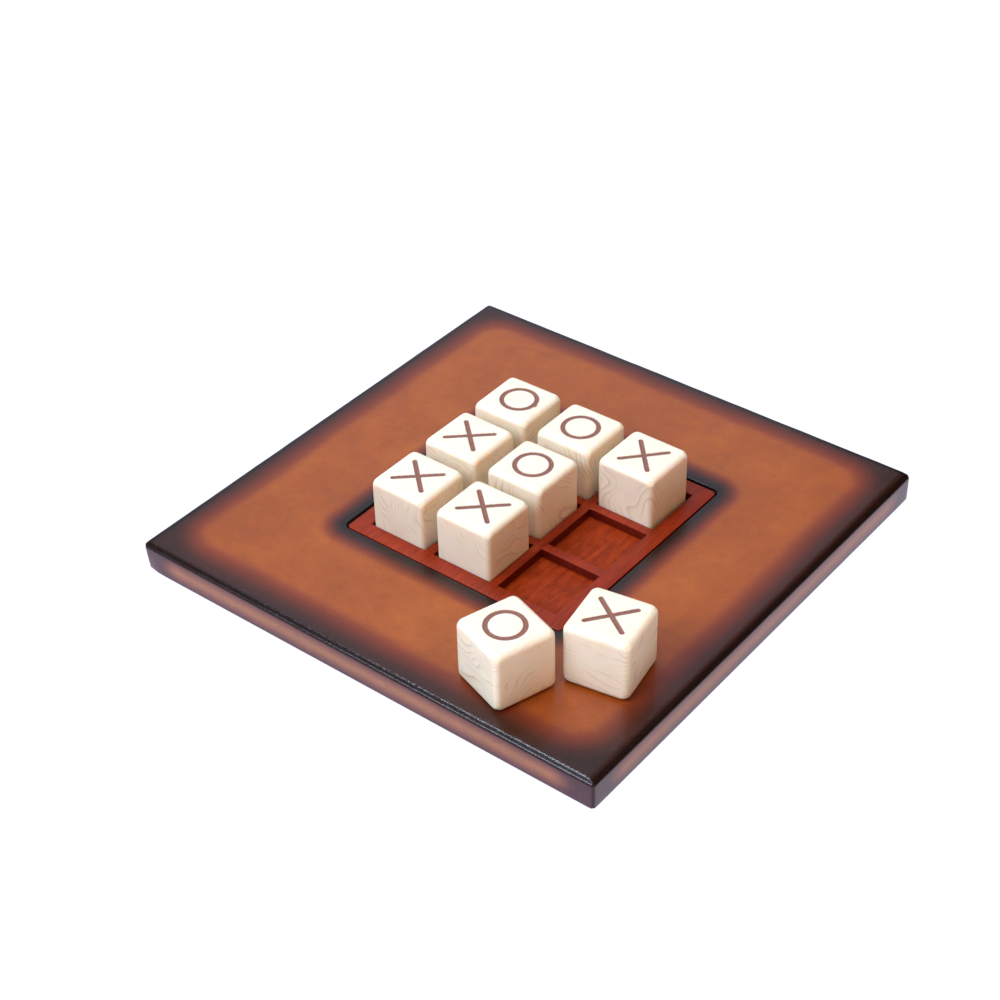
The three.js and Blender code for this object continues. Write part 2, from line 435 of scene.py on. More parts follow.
@dataclass(frozen=True)
class MarbledIvoryResin(Finish):
    """Cast polyester resin in imitation of ivory, tumbled and polished.

    Light goes some millimetres into it, so shaded faces glow warm, and long swirled veins of a darker pour show on the
    sides, and fade on the marked face: painted highlight. The attribute "pour" is a place in the block that the
    cube was cut from, another says how near the marked face is, and "ink" says where the engraved groove is painted.
    """

    name: str = "marbled_ivory_resin"
    body: str = "#f4e7cd"
    shade: str = "#ebdaba"
    vein: str = "#a88c68"
    ink: str = "#8a5a48"
    # Swirls of the pour are a centimetre or two long, and its layers about 22 mm thick with nine veins and a half each
    swirl: tuple[float, float, float] = (26.0, 26.0, 13.0)
    twist: float = 0.25
    vein_count: float = 9.5
    vein_power: float = 6.0
    layer: float = 22.0
    patch_size: float = 15.0
    patch_span: Span = (0.4, 0.6)
    # How far the veins fade on the marked face: painted highlight
    plainness: float = 0.8
    shade_strength: float = 0.45
    vein_strength: float = 0.5
    glow: float = 0.75
    depth: float = 4.0
    spread: tuple[float, float, float] = (1.0, 0.55, 0.28)
    roughness: float = 0.34

    def build(self, tree: bpy.types.NodeTree) -> dict[str, Any]:
        """Adds the nodes: wavy strata, cut into levels whose edges are the veins, and soft patches that show them.

        Args:
            tree: The material's node tree.

        Returns:
            Names of the shader's sockets and what goes into them.
        """
        add = functools.partial(add_node, tree)
        place = add("Attribute", attribute_name="pour").outputs["Vector"]
        height = add("Math DIVIDE", add("SeparateXYZ", place).outputs[2], self.layer * MM)
        strata = add("Math ADD", drawn_out(add, place, self.swirl, 1.0, self.twist), height)
        level = add("Math FRACT", add("Math MULTIPLY", strata, self.vein_count))
        line = add("Math POWER", level, self.vein_power)
        seen = add("MapRange", add("TexNoise", place, per(self.patch_size), 3.0), *self.patch_span)
        # Painted highlight: the veins and clouds fade towards the marked face
        plain = add("Attribute", attribute_name="plain").outputs["Fac"]
        seen = add("Math MULTIPLY", seen, add("Math SUBTRACT", 1.0, add("Math MULTIPLY", plain, self.plainness)))
        painted = add("Attribute", attribute_name="ink").outputs["Fac"]
        shaded = add("Math MULTIPLY", add("Math MULTIPLY", seen, level), self.shade_strength)
        veined = add("Math MULTIPLY", add("Math MULTIPLY", line, seen), self.vein_strength)
        colour = self.body
        for share, laid_over in ((shaded, self.shade), (veined, self.vein), (painted, self.ink)):
            colour = add("Mix", share, colour, laid_over, data_type="RGBA")
        return {
            "Base Color": colour,
            "Roughness": self.roughness,
            "Subsurface Weight": self.glow,
            "Subsurface Radius": self.spread,
            "Subsurface Scale": self.depth * MM,
        }


@dataclass(frozen=True)
class PlainPaint(Finish):
    """A matt coat: enamel brushed into the engraved marks, or near-black painted shade on the fibre panel."""

    name: str = "brown_mark_paint"
    tones: Stops = ((0.35, "#7f5040"), (0.65, "#8a5a48"))
    # The pigment itself is far too fine to show in the render, so the mottle is as coarse as the marks of a brush
    mottle_size: float = 1.5
    roughness: float = 0.6
    bump: float = 0.1
    bump_height: float = 0.1

    def build(self, tree: bpy.types.NodeTree) -> dict[str, Any]:
        """Adds the nodes: one fine mottle for colour and surface.

        Args:
            tree: The material's node tree.

        Returns:
            Names of the shader's sockets and what goes into them.
        """
        add = functools.partial(add_node, tree)
        mottle = add("TexNoise", add("TexCoord").outputs["Object"], per(self.mottle_size), 4.0)
        return {
            "Base Color": add("ValToRGB", mottle, stops=self.tones),
            "Roughness": self.roughness,
            "Normal": add("Bump", self.bump, self.bump_height * MM, inputs={"Height": mottle}),
        }


@dataclass(frozen=True)
class BrownSuede(Finish):
    """Dark brown split suede, brushed, glued under the board; its nap scatters light softly."""

    name: str = "brown_suede"
    tones: Stops = ((0.38, "#38221a"), (0.62, "#533529"))
    # The fibres of the nap are about 0.05 mm thick, too fine to show in the render, so it is drawn as coarse as 0.9 mm
    nap_size: float = 0.9
    cloud_size: float = 22.0
    bump: float = 0.5
    bump_height: float = 0.3
    roughness: float = 0.95
    sheen: float = 0.4
    sheen_roughness: float = 0.5

    def build(self, tree: bpy.types.NodeTree) -> dict[str, Any]:
        """Adds the nodes: brushed clouds and a fine nap.

        Args:
            tree: The material's node tree.

        Returns:
            Names of the shader's sockets and what goes into them.
        """
        add = functools.partial(add_node, tree)
        place = add("TexCoord").outputs["Object"]
        nap = add("TexNoise", place, per(self.nap_size), 6.0)
        cloud = add("TexNoise", place, per(self.cloud_size), 3.0)
        mean = add("Math MULTIPLY", add("Math ADD", nap, cloud), 0.5)
        return {
            "Base Color": add("ValToRGB", mean, stops=self.tones),
            "Roughness": self.roughness,
            "Normal": add("Bump", self.bump, self.bump_height * MM, inputs={"Height": nap}),
            "Sheen Weight": self.sheen,
            "Sheen Roughness": self.sheen_roughness,
        }


@dataclass(frozen=True)
class OpalTable(Finish):
    """Opal acrylic lit from below, as a light table is, so it stays white with no shadow."""

    shader: ClassVar[str] = "Emission"
    name: str = "white_light_table"
    tint: tuple[float, float, float, float] = (1.0, 1.0, 1.14, 1.0)
    glow: float = 1.03

    def build(self, tree: bpy.types.NodeTree) -> dict[str, Any]:
        """Returns the colour and strength of the glow, which has no pattern."""
        return {"Color": self.tint, "Strength": self.glow}


class Mark(Enum):
    """The mark on a cube."""

    CROSS = "x"
    RING = "o"


def put(name: str, data: bpy.types.ID) -> bpy.types.Object:
    """Puts an object with this data into the scene, at the origin.

    Args:
        name: The object's name.
        data: Its mesh, light or camera.

    Returns:
        The object.
    """
    made = bpy.data.objects.new(name, data)
    bpy.context.scene.collection.objects.link(made)
    return made


@dataclass
class Skin:
    """Vertices in millimetres and four-cornered faces, gathered before they become one mesh."""

    points: list[np.ndarray] = field(default_factory=list)
    faces: list[np.ndarray] = field(default_factory=list)
    weld: float = 0.002
    crease: float = 40.0

    def add_grid(self, grid: np.ndarray, wrap_rows: bool = False, wrap_columns: bool = False) -> None:
        """Adds a surface given as a grid of points; neighbours in rows and columns make the faces.

        Args:
            grid: Rows by columns by 3. Rows run away and columns to the right, seen from outside.
            wrap_rows: Joins the last row to the first.
            wrap_columns: Joins the last column to the first.
        """
        rows, columns = grid.shape[:2]
        start = sum(len(p) for p in self.points)
        numbers = start + np.arange(rows * columns).reshape(rows, columns)
        if wrap_rows:
            numbers = np.vstack([numbers, numbers[:1]])
        if wrap_columns:
            numbers = np.hstack([numbers, numbers[:, :1]])
        corners = (numbers[:-1, :-1], numbers[:-1, 1:], numbers[1:, 1:], numbers[1:, :-1])
        self.points.append(grid.reshape(-1, 3))
        self.faces.append(np.stack(corners, -1).reshape(-1, 4))

    def piece(self, name: str) -> bpy.types.Object:
        """Makes the Blender object, with seams and poles welded, smooth but for edges past the crease angle.

        Args:
            name: The piece's name.

        Returns:
            The object, at the origin.
        """
        mesh = bpy.data.meshes.new(name)
        mesh.from_pydata((np.vstack(self.points) * MM).tolist(), [], np.vstack(self.faces).tolist())
        work = bmesh.new()
        work.from_mesh(mesh)
        bmesh.ops.remove_doubles(work, verts=work.verts, dist=self.weld * MM)
        bmesh.ops.dissolve_degenerate(work, edges=work.edges, dist=self.weld * MM * 0.1)
        bmesh.ops.recalc_face_normals(work, faces=work.faces)
        work.to_mesh(mesh)
        work.free()
        mesh.shade_smooth()
        mesh.set_sharp_from_angle(angle=math.radians(self.crease))
        return put(name, mesh)


def dress(piece: bpy.types.Object, finish: Finish, body: str, nodes: Sequence[str]) -> bpy.types.Object:
    """Gives a piece its finish, its body and the CAD nodes that it stands for.

    Args:
        piece: The finished object.
        finish: Its finish.
        body: The CAD body that it rides on.
        nodes: The CAD nodes that it replaces.

    Returns:
        The piece.
    """
    piece.data.materials.append(finish.material())
    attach(piece, body)
    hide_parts(*nodes)
    return piece


def stain(node: str, finish: Finish) -> bpy.types.Object:
    """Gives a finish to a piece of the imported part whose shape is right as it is.

    Args:
        node: The piece's node.
        finish: Its finish.

    Returns:
        The piece.
    """
    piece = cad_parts[node]
    for slot in piece.material_slots:
        slot.material = finish.material()
    return piece


def turned(angle: float, first: int = 0, second: int = 1) -> np.ndarray:
    """Works out the matrix that turns points, as rows, from one axis towards another.

    Args:
        angle: The angle in degrees.
        first: Number of the axis that is turned.
        second: Number of the axis that it is turned to.

    Returns:
        The 3 by 3 matrix.
    """
    spin, a = np.eye(3), math.radians(angle)
    spin[first, first] = spin[second, second] = math.cos(a)
    spin[first, second], spin[second, first] = math.sin(a), -math.sin(a)
    return spin


@dataclass
class SquarePath:
    """A closed square path with columns along its sides and round its corners.

    Each column has a place on the unit square's outline and the direction that faces out of it, so a point of any
    profile is place times the straight half side plus direction times the corner radius.
    """

    along: int = 24
    round: int = 8
    stations: Optional[np.ndarray] = None

    def __post_init__(self) -> None:
        """Works out the columns of one side, evenly or at the given stations, and one corner, and turns them."""
        run = np.linspace(-1, 1, self.along + 1) if self.stations is None else self.stations
        turn = np.linspace(-np.pi / 2, 0, self.round + 1)[1:-1]
        side = np.c_[run, -np.ones_like(run)]
        side_out = np.tile([0.0, -1.0], (len(run), 1))
        corner = np.tile([1.0, -1.0], (len(turn), 1))
        corner_out = np.c_[np.cos(turn), np.sin(turn)]
        places, outs = np.vstack([side, corner]), np.vstack([side_out, corner_out])
        spins = [turned(90 * quarter)[:2, :2] for quarter in range(4)]
        self.place = np.vstack([places @ spin for spin in spins])
        self.out = np.vstack([outs @ spin for spin in spins])

    def carry(self, profile: np.ndarray) -> np.ndarray:
        """Carries a profile round the path.

        Args:
            profile: Rows of straight half side, corner radius and height.

        Returns:
            Rows by columns by 3, where x and y are place times half side plus direction times radius.
        """
        half, radius, height = profile[:, 0, None], profile[:, 1, None], profile[:, 2, None]
        x = self.place[None, :, 0] * half + self.out[None, :, 0] * radius
        y = self.place[None, :, 1] * half + self.out[None, :, 1] * radius
        return np.stack([x, y, np.broadcast_to(height, x.shape)], -1)


def arc(half: float, middle: Span, size: Span, angles: Span, steps: int) -> np.ndarray:
    """Rows of a profile along an arc of an ellipse: middle plus size times cosine and sine of even angles.

    Args:
        half: Straight half side, the same in all rows.
        middle: Corner radius and height of the ellipse's middle.
        size: Its two half axes, negative to mirror it.
        angles: First and last angle in degrees.
        steps: Number of steps.

    Returns:
        The rows.
    """
    a = np.radians(np.linspace(*angles, steps + 1))
    return np.c_[np.full(steps + 1, half), middle[0] + size[0] * np.cos(a), middle[1] + size[1] * np.sin(a)]


def wall(half: float, radius: float, start: float, end: float, rows: int) -> np.ndarray:
    """Rows of a profile along an upright wall, evenly between two heights and without these ends."""
    return np.c_[np.full(rows, half), np.full(rows, radius), np.linspace(start, end, rows + 2)[1:-1]]


def swell(x: np.ndarray, y: np.ndarray, length: float, seed: int) -> np.ndarray:
    """A smooth wavy field between about -1 and 1: the mean of eight plane waves of random direction and phase.

    Args:
        x: Places along x, in millimetres.
        y: Places along y.
        length: Mean length of the waves, in millimetres.
        seed: Number that fixes the waves.

    Returns:
        The field at each place.
    """
    draw = np.random.default_rng(seed)
    angle, phase = draw.uniform(0, 2 * np.pi, 8), draw.uniform(0, 2 * np.pi, 8)
    pace = 2 * np.pi / (length * draw.uniform(0.6, 1.6, 8))
    waves = np.sin(x[..., None] * np.cos(angle) * pace + y[..., None] * np.sin(angle) * pace + phase)
    return waves.mean(-1)


@dataclass
class Board:
    """The board: leather cover, fibre core and suede lining.

    Each droop is a depth and the width of its strip. The tucks are those of the corners at -X -Y, +X -Y, -X +Y and
    +X +Y.
    """

    side: float = 245.0
    height: float = 13.5
    # The corners seen from above, the shoulder's width and height, and the lower edge
    corner_radius: float = 1.7
    edge_radius: float = 0.75
    edge_height: float = 0.9
    low_radius: float = 0.25
    # The leather's thickness, the hidden corners inside it, and the hem turned under the board
    leather: float = 1.2
    inner_round: float = 1.3
    hem: float = 14.0
    hem_round: float = 0.3
    hem_ease: Span = (0.4, 0.35)
    opening: float = 120.0
    opening_round: float = 3.4
    lip: float = 0.45
    top_rows: int = 42
    # What the hand-stretched leather does above this height
    still_below: float = 1.0
    droop: Span = (0.12, 3.0)
    front_droop: Span = (1.3, 3.0)
    right_droop: Span = (1.15, 4.6)
    lip_droop: Span = (0.1, 1.2)
    wave: float = 0.07
    wave_length: float = 30.0
    side_wave: float = 0.1
    side_wave_length: float = 18.0
    # How far the folds and the seam draw the corners in, and over what width
    tucks: tuple[float, float, float, float] = (1.12, 0.07, 0.35, 0.175)
    tuck_width: float = 5.0
    tuck_power: float = 1.4
    seam_depth: float = 0.168
    seam_width: float = 0.55
    lining_gap: float = 0.4
    lining_edge: float = 0.3
    lining_round: float = 1.0
    lining_ring: float = 0.2
    body: str = "board"

    def cover(self) -> bpy.types.Object:
        """Builds the leather: one closed profile carried round the board.

        The profile climbs the opening's cut edge, runs out over the top, round the shoulder, down the side, round the
        lower edge and in under the hem, then comes back 1.2 mm inside. The top and sides get a slight swell, and the
        lower part of each corner is drawn in where the cover is folded under.

        Returns:
            The piece leather_skin.
        """
        half, top, e, lip, low = self.side / 2, self.height, self.edge_radius, self.lip, self.low_radius
        straight, gap = half - self.corner_radius, self.opening / 2 - self.opening_round
        hem, inner, deep = half - self.hem, half - self.leather - self.inner_round, top - self.edge_height
        cut, shoulder = self.opening_round + lip, self.corner_radius - e
        # The rows over the top are closer together at both of its ends
        share = 0.5 - 0.5 * np.cos(np.linspace(0, np.pi, self.top_rows + 2)[1:-1])
        outer = np.vstack(
            [
                arc(gap, (cut, top - lip), (-lip, lip), (0, 90), 6),
                np.c_[gap + (straight - gap) * share, cut * (1 - share) + shoulder * share, np.full_like(share, top)],
                arc(straight, (shoulder, deep), (e, self.edge_height), (90, 0), 12),
                wall(straight, self.corner_radius, deep, low, 8),
                arc(straight, (self.corner_radius - low, low), (low, -low), (0, 90), 6),
            ]
        )
        inside = [
            [hem + self.hem_ease[0], self.hem_round, 0.0],
            [hem, self.hem_round, self.hem_ease[1]],
            [hem, self.hem_round, self.leather],
            [inner, self.inner_round, self.leather],
            [inner, self.inner_round, top - self.leather],
            [gap, self.opening_round, top - self.leather],
        ]
        path = SquarePath(along=96, round=18)
        grid = path.carry(np.vstack([outer, inside]))
        self._work_by_hand(grid, path, len(outer), straight)
        skin = Skin()
        skin.add_grid(grid, wrap_rows=True, wrap_columns=True)
        return dress(skin.piece("leather_skin"), BurnishedLeather(), self.body, ["leather_cover"])

    def _work_by_hand(self, grid: np.ndarray, path: SquarePath, outer_rows: int, straight: float) -> None:
        """Moves the outer surface by tenths of a millimetre, as leather that was stretched by hand.

        Height loses a swell of waves and a droop, which grows as the square of the way into its strip along the outer
        edge and is deepest along the two near edges; the sides are stretched down with it. The sides go in by a
        swell along the edge. The lower corners go in by the tuck, which fades with height and with distance from the
        corner, and a seam runs down each corner.

        Args:
            grid: The carried profile, changed in place.
            path: The path that it was carried along.
            outer_rows: Number of rows from the opening's edge to the lower edge of the sides.
            straight: Half of the straight part of a side.
        """
        x, y, z = grid[..., 0], grid[..., 1], grid[..., 2]
        reach = np.maximum(np.abs(x), np.abs(y))
        skin = np.arange(len(grid))[:, None] < outer_rows
        # Long waves and half as deep short ones; the 1.2 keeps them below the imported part's height
        waves = swell(x, y, self.wave_length, seed=4) + swell(x, y, self.wave_length / 3, seed=5) * 0.5
        dip = self.wave * (waves + 1.2)
        from_lip = np.clip(reach - self.opening / 2, 0, None)
        strips = ((reach, self.droop), (-y, self.front_droop), (x, self.right_droop))
        falls = [most * np.clip(1 - (self.side / 2 - out) / wide, 0, 1) ** 2 for out, (most, wide) in strips]
        dip += np.maximum.reduce(falls) + self.lip_droop[0] * np.exp(-from_lip / self.lip_droop[1])
        stretch = np.where(reach > straight, np.clip(z / self.height, 0, 1) ** 2, 1.0)
        z -= np.where(skin & (z > self.still_below), dip * stretch, 0.0)
        tuck = np.array(self.tucks)[(x > 0) + 2 * (y > 0)]
        away = np.abs(np.abs(x) - np.abs(y))
        low = np.clip(1 - z / self.height, 0, 1) ** self.tuck_power
        inset = tuck * low * np.exp(-((away / self.tuck_width) ** 2))
        along = np.where(np.abs(x) > np.abs(y), y, x)
        waves = np.clip(swell(along, z, self.side_wave_length, seed=6) + 0.5, 0, None)
        inset += self.side_wave * waves * np.clip(z / self.height, 0.1, 1)
        inset += self.seam_depth * np.exp(-((away / self.seam_width) ** 2))
        inset = np.where(skin & (reach > straight), inset, 0.0)
        x -= inset * path.out[None, :, 0]
        y -= inset * path.out[None, :, 1]

    def lining(self) -> bpy.types.Object:
        """Builds the suede panel: a flat slab with small round edges, from the path carried over its profile.

        The profile goes out along the underside, round both edges and back in over the upper side, with a ring close
        to each edge that keeps the flat sides evenly shaded.

        Returns:
            The piece suede_panel.
        """
        half, thick, e = self.side / 2 - self.hem - self.lining_gap, self.leather, self.lining_edge
        flat, middle = half - self.lining_round, self.lining_round - e
        profile = np.vstack(
            [
                [[0, 0, 0], [half * 0.5, 0, 0], [flat, self.lining_ring, 0]],
                arc(flat, (middle, e), (e, e), (-90, 0), 3),
                arc(flat, (middle, thick - e), (e, e), (0, 90), 3),
                [[flat, self.lining_ring, thick], [half * 0.5, 0, thick], [0, 0, thick]],
            ]
        )
        skin = Skin()
        skin.add_grid(SquarePath(along=8, round=4).carry(profile), wrap_columns=True)
        return dress(skin.piece("suede_panel"), BrownSuede(), self.body, ["underside_lining"])

    def core(self) -> bpy.types.Object:
        """Dresses the fibre panel near-black all over, painted shade for the gap round the recess, and returns it."""
        # Painted shade: the whole panel is near-black so the gap round the tray shows dark
        tones = ((0.35, "#120b0a"), (0.65, "#1d1210"))
        return stain("board_core", PlainPaint("fibre_panel_painted_gap_shade", tones, mottle_size=2.5, roughness=0.85, bump=0.4))

    def build(self) -> list[bpy.types.Object]:
        """Builds and dresses the whole board and returns its pieces."""
        return [self.cover(), self.lining(), self.core()]


@dataclass
class Tray:
    """The wooden tray: a lattice with nine windows over a floor panel."""

    pocket: float = 31.2
    bar: float = 4.4
    rim: float = 7.8
    top: float = 12.9
    floor: float = 8.2
    gap: float = 0.3
    ease: float = 0.25
    corner: float = 2.2
    body: str = "board"

    def lattice(self) -> bpy.types.Object:
        """Builds the lattice: flat strips between the windows, and a lip and wall carried round each window.

        The lines across the top are the window edges plus the width of the eased lip; the nine cells between them
        stay open, and a profile of lip, wall and lower edge goes round each one. The rim is a profile that starts at
        the outermost lines, goes out over the rounded outline and comes back underneath.

        Returns:
            The piece tray_lattice.
        """
        pitch, half, e, r = self.pocket + self.bar, self.pocket / 2, self.ease, self.corner
        outer = 1.5 * self.pocket + self.bar + self.rim - r
        low, crown = self.floor + self.gap, self.top - e
        centres = np.array([-pitch, 0.0, pitch])
        lines = np.sort(np.concatenate([centres - half - e, centres + half + e]))
        skin = Skin()
        for height in (self.top, low):
            for i in range(5):
                for j in range(5):
                    if i % 2 or j % 2:
                        u, v = np.meshgrid(lines[i : i + 2], lines[j : j + 2])
                        skin.add_grid(np.stack([u, v, np.full_like(u, height)], -1))
        # A window's corners are sharp, so its lip is an arc of the half side, with no corner radius
        lip = arc(0.0, (half + e, crown), (-e, e), (90, 0), 4)[:, [1, 0, 2]]
        window = np.vstack([lip, [[half, 0, low + e], [half + e, 0, low]]])
        path = SquarePath(along=1, round=1)
        for cx in centres:
            for cy in centres:
                skin.add_grid(path.carry(window) + np.array([cx, cy, 0.0]), wrap_columns=True)
        edge = arc(outer, (r - e, crown), (e, e), (90, 0), 4)
        ends = [[outer, r, low + e], [outer, r - e, low], [lines[-1], 0, low]]
        rim = np.vstack([[[lines[-1], 0, self.top]], edge, ends])
        skin.add_grid(SquarePath(round=8, stations=lines / lines[-1]).carry(rim), wrap_columns=True)
        # Below the lip the lattice's walls get painted shade
        finish = Mahogany(name="satin_mahogany_lattice", shade_below=crown)
        return dress(skin.piece("tray_lattice"), finish, self.body, ["tray_grid"])

    def panel(self) -> bpy.types.Object:
        """Dresses the floor panel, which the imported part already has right.

        Returns:
            The panel.
        """
        oiled = Mahogany(
            name="oiled_mahogany_floor",
            tones=((0.3, "#7e2906"), (0.5, "#8a2e07"), (0.72, "#97360b")),
            figure_tones=((0.36, "#e4dad6"), (0.6, "#ffffff")),
            stripe=(1.7, 22.0),
            figure=(3.0, 6.0),
            pore=(0.35, 2.0),
            roughness=0.4,
            specular=0.15,
            shift=(3.1, 1.7, 0.4),
        )
        return stain("tray_floor", oiled)

    def build(self) -> list[bpy.types.Object]:
        """Builds the lattice, dresses the floor and returns both."""
        return [self.lattice(), self.panel()]


@dataclass
class MarkedCube:
    """One rounded cube of marbled resin with an engraved and painted mark on its top.

    The mark lies off the middle of the top by off, and pour is how the cube was cut from its block: leaned about x
    and then turned about z, in degrees.
    """

    mark: Mark
    number: int
    at: tuple[float, float, float]
    turn: float
    off: Span = (0.0, 0.0)
    pour: Span = (0.0, 0.0)
    side: float = 29.4
    edge: float = 2.5
    corner_reach: float = 23.2
    corner_ease: float = 0.5
    # The mark: width of its stroke, half a cross, radius of a ring, depth of the groove and slope of its walls
    stroke: float = 2.0
    cross: Span = (8.2, 7.5)
    ring: float = 8.1
    groove: float = 0.85
    wall: float = 0.3
    # The paint: its depth below the face, its distance to the walls and the ground, and how hollow it has dried
    paint: float = 0.5
    paint_gap: float = 0.02
    paint_lift: float = 0.03
    paint_hollow: float = 0.08
    overlap: float = 0.01
    ink_depth: float = 0.25
    ink_end: float = 1.5
    block: float = 50.0
    # Spacing of the top's grid where the mark is, and half the width of that field
    fine: float = 0.17
    field: float = 9.7

    @property
    def key(self) -> str:
        """The end of this cube's names, such as x_1."""
        return f"{self.mark.value}_{self.number}"

    @property
    def body(self) -> str:
        """The CAD body of this cube."""
        return f"{self.mark.value}_cube_{self.number}"

    def off_mark(self, x: np.ndarray, y: np.ndarray) -> np.ndarray:
        """Distance from a place on the top to the middle line of the mark.

        For a ring it is the difference between the place's radius and the ring's. For a cross it is the smaller of
        the distances to its two strokes, each measured to the nearest point of a line between its ends.

        Args:
            x: Places along x, in millimetres from the cube's middle.
            y: Places along y.

        Returns:
            The distances.
        """
        x, y = x - self.off[0], y - self.off[1]
        if self.mark is Mark.RING:
            return np.abs(np.hypot(x, y) - self.ring)
        half = math.hypot(*self.cross)
        found = []
        for sign in (1, -1):
            ux, uy = self.cross[0] / half, sign * self.cross[1] / half
            along = np.clip(x * ux + y * uy, -half, half)
            found.append(np.hypot(x - along * ux, y - along * uy))
        return np.minimum(*found)

    def sunk(self, x: np.ndarray, y: np.ndarray) -> np.ndarray:
        """Depth of the groove: full inside the stroke, easing to nothing over the width of its wall."""
        share = np.clip((self.stroke / 2 + self.wall / 2 - self.off_mark(x, y)) / self.wall, 0, 1)
        return self.groove * share * share * (3 - 2 * share)

    def wear(self, grid: np.ndarray) -> np.ndarray:
        """Rounds the eight corners more than the edges, as tumbling does.

        A point further from the cube's middle than the corner's reach is drawn back along its ray. Its new distance
        is the smooth minimum of its old distance and the reach.

        Args:
            grid: Points of the rounded cube, standing on zero height.

        Returns:
            The points with worn corners.
        """
        middle = np.array([0.0, 0.0, self.side / 2])
        ray = grid - middle
        far = np.linalg.norm(ray, axis=-1, keepdims=True)
        h = np.clip(0.5 + 0.5 * (self.corner_reach - far) / self.corner_ease, 0, 1)
        near = self.corner_reach * (1 - h) + far * h - self.corner_ease * h * (1 - h)
        return middle + ray * np.minimum(near, far) / far

    def set_down(self, grid: np.ndarray) -> np.ndarray:
        """Turns a grid about the upright axis and moves it to the cube's place."""
        return grid @ turned(self.turn) + np.array(self.at)

    def lines(self) -> np.ndarray:
        """Places of the grid lines across the top: close together where the mark is, wide apart outside it."""
        flat = self.side / 2 - self.edge
        inner = np.linspace(-self.field, self.field, round(2 * self.field / self.fine) + 1)
        return np.concatenate([[-flat, -(flat + self.field) / 2], inner, [(flat + self.field) / 2, flat]])

    def cube(self) -> bpy.types.Object:
        """Builds the cube: the top as a grid lowered by the groove, and the rest carried round it.

        The carried profile leaves the flat top's outline, goes over the quarter round edge, down the side, round the
        lower edge and in to the middle of the underside. Its columns have the places of the top's grid lines.

        Returns:
            The piece marked_cube_ and its key.
        """
        flat, r, high = self.side / 2 - self.edge, self.edge, self.side
        lines = self.lines()
        x, y = np.meshgrid(lines, lines)
        profile = np.vstack(
            [
                arc(flat, (0.0, high - r), (r, r), (90, 0), 9),
                wall(flat, r, high - r, r, 17),
                arc(flat, (0.0, r), (r, -r), (0, 90), 9),
                [[flat * 0.6, 0, 0], [0, 0, 0]],
            ]
        )
        skin = Skin()
        skin.add_grid(self.set_down(self.wear(np.stack([x, y, high - self.sunk(x, y)], -1))))
        carried = SquarePath(round=10, stations=lines / flat).carry(profile)
        skin.add_grid(self.set_down(self.wear(carried)), wrap_columns=True)
        made = skin.piece("marked_cube_" + self.key)
        self._stain(made.data)
        return dress(made, MarbledIvoryResin(), self.body, ["cube_" + self.key])

    def _stain(self, mesh: bpy.types.Mesh) -> None:
        """Writes three attributes of the surface.

        They are "ink", 1 where paint reaches in the groove, one that falls from 1 at the top to 0 at twice the edge's
        radius below it and fades the veins there as painted highlight, and "pour", the place in the cast block.

        The place in the block is the place in the cube, leaned about x and then turned about z by the two angles of
        the pour, and moved 50 mm for each cube before it, so no two cubes show the same veins.

        Args:
            mesh: The cube's mesh, which gets them.
        """
        co = np.zeros(len(mesh.vertices) * 3, np.float32)
        mesh.vertices.foreach_get("co", co)
        local = (co.reshape(-1, 3) / MM - np.array(self.at)) @ turned(-self.turn)
        below = self.side - local[:, 2]
        in_stroke = (self.off_mark(local[:, 0], local[:, 1]) < self.stroke) & (below < self.ink_end)
        lean, swing = self.pour
        start = self.block * np.array([self.number, list(Mark).index(self.mark), 0])
        attributes = {
            "ink": np.clip(below / self.ink_depth, 0, 1) * in_stroke,
            "plain": np.clip(1 - below / (2 * self.edge), 0, 1),
            "pour": (local @ turned(swing) @ turned(lean, 1, 2) + start) * MM,
        }
        for name, values in attributes.items():
            kind, key = ("FLOAT", "value") if values.ndim == 1 else ("FLOAT_VECTOR", "vector")
            mesh.attributes.new(name, kind, "POINT").data.foreach_set(key, values.astype(np.float32).ravel())

    def colour(self) -> bpy.types.Object:
        """Builds the paint in the groove: a thin strip with a slightly hollow top along the mark.

        A ring is the strip's section carried round a circle. A cross is the same section carried along each of its
        two strokes.

        Returns:
            The piece mark_colour_ and its key.
        """
        half, low = self.stroke / 2 - self.paint_gap, self.side - self.groove + self.paint_lift
        across = np.linspace(-1, 1, 7)
        top = self.side - self.paint - self.paint_hollow * (1 - across**2)
        section = np.concatenate([across, across[::-1]])[:, None]
        height = np.concatenate([top, np.full(7, low)])[:, None]
        skin = Skin()
        if self.mark is Mark.RING:
            angle = np.linspace(0, 2 * np.pi, 97)[:-1]
            radius = self.ring + section * half
            x, y = self.off[0] + radius * np.cos(angle), self.off[1] + radius * np.sin(angle)
            grid = np.stack([x, y, np.broadcast_to(height, x.shape)], -1)
            skin.add_grid(self.set_down(grid), wrap_rows=True, wrap_columns=True)
        else:
            self._cross_strips(skin, half, section, height)
        made = skin.piece("mark_colour_" + self.key)
        return dress(made, PlainPaint(), self.body, ["fill_" + self.key])

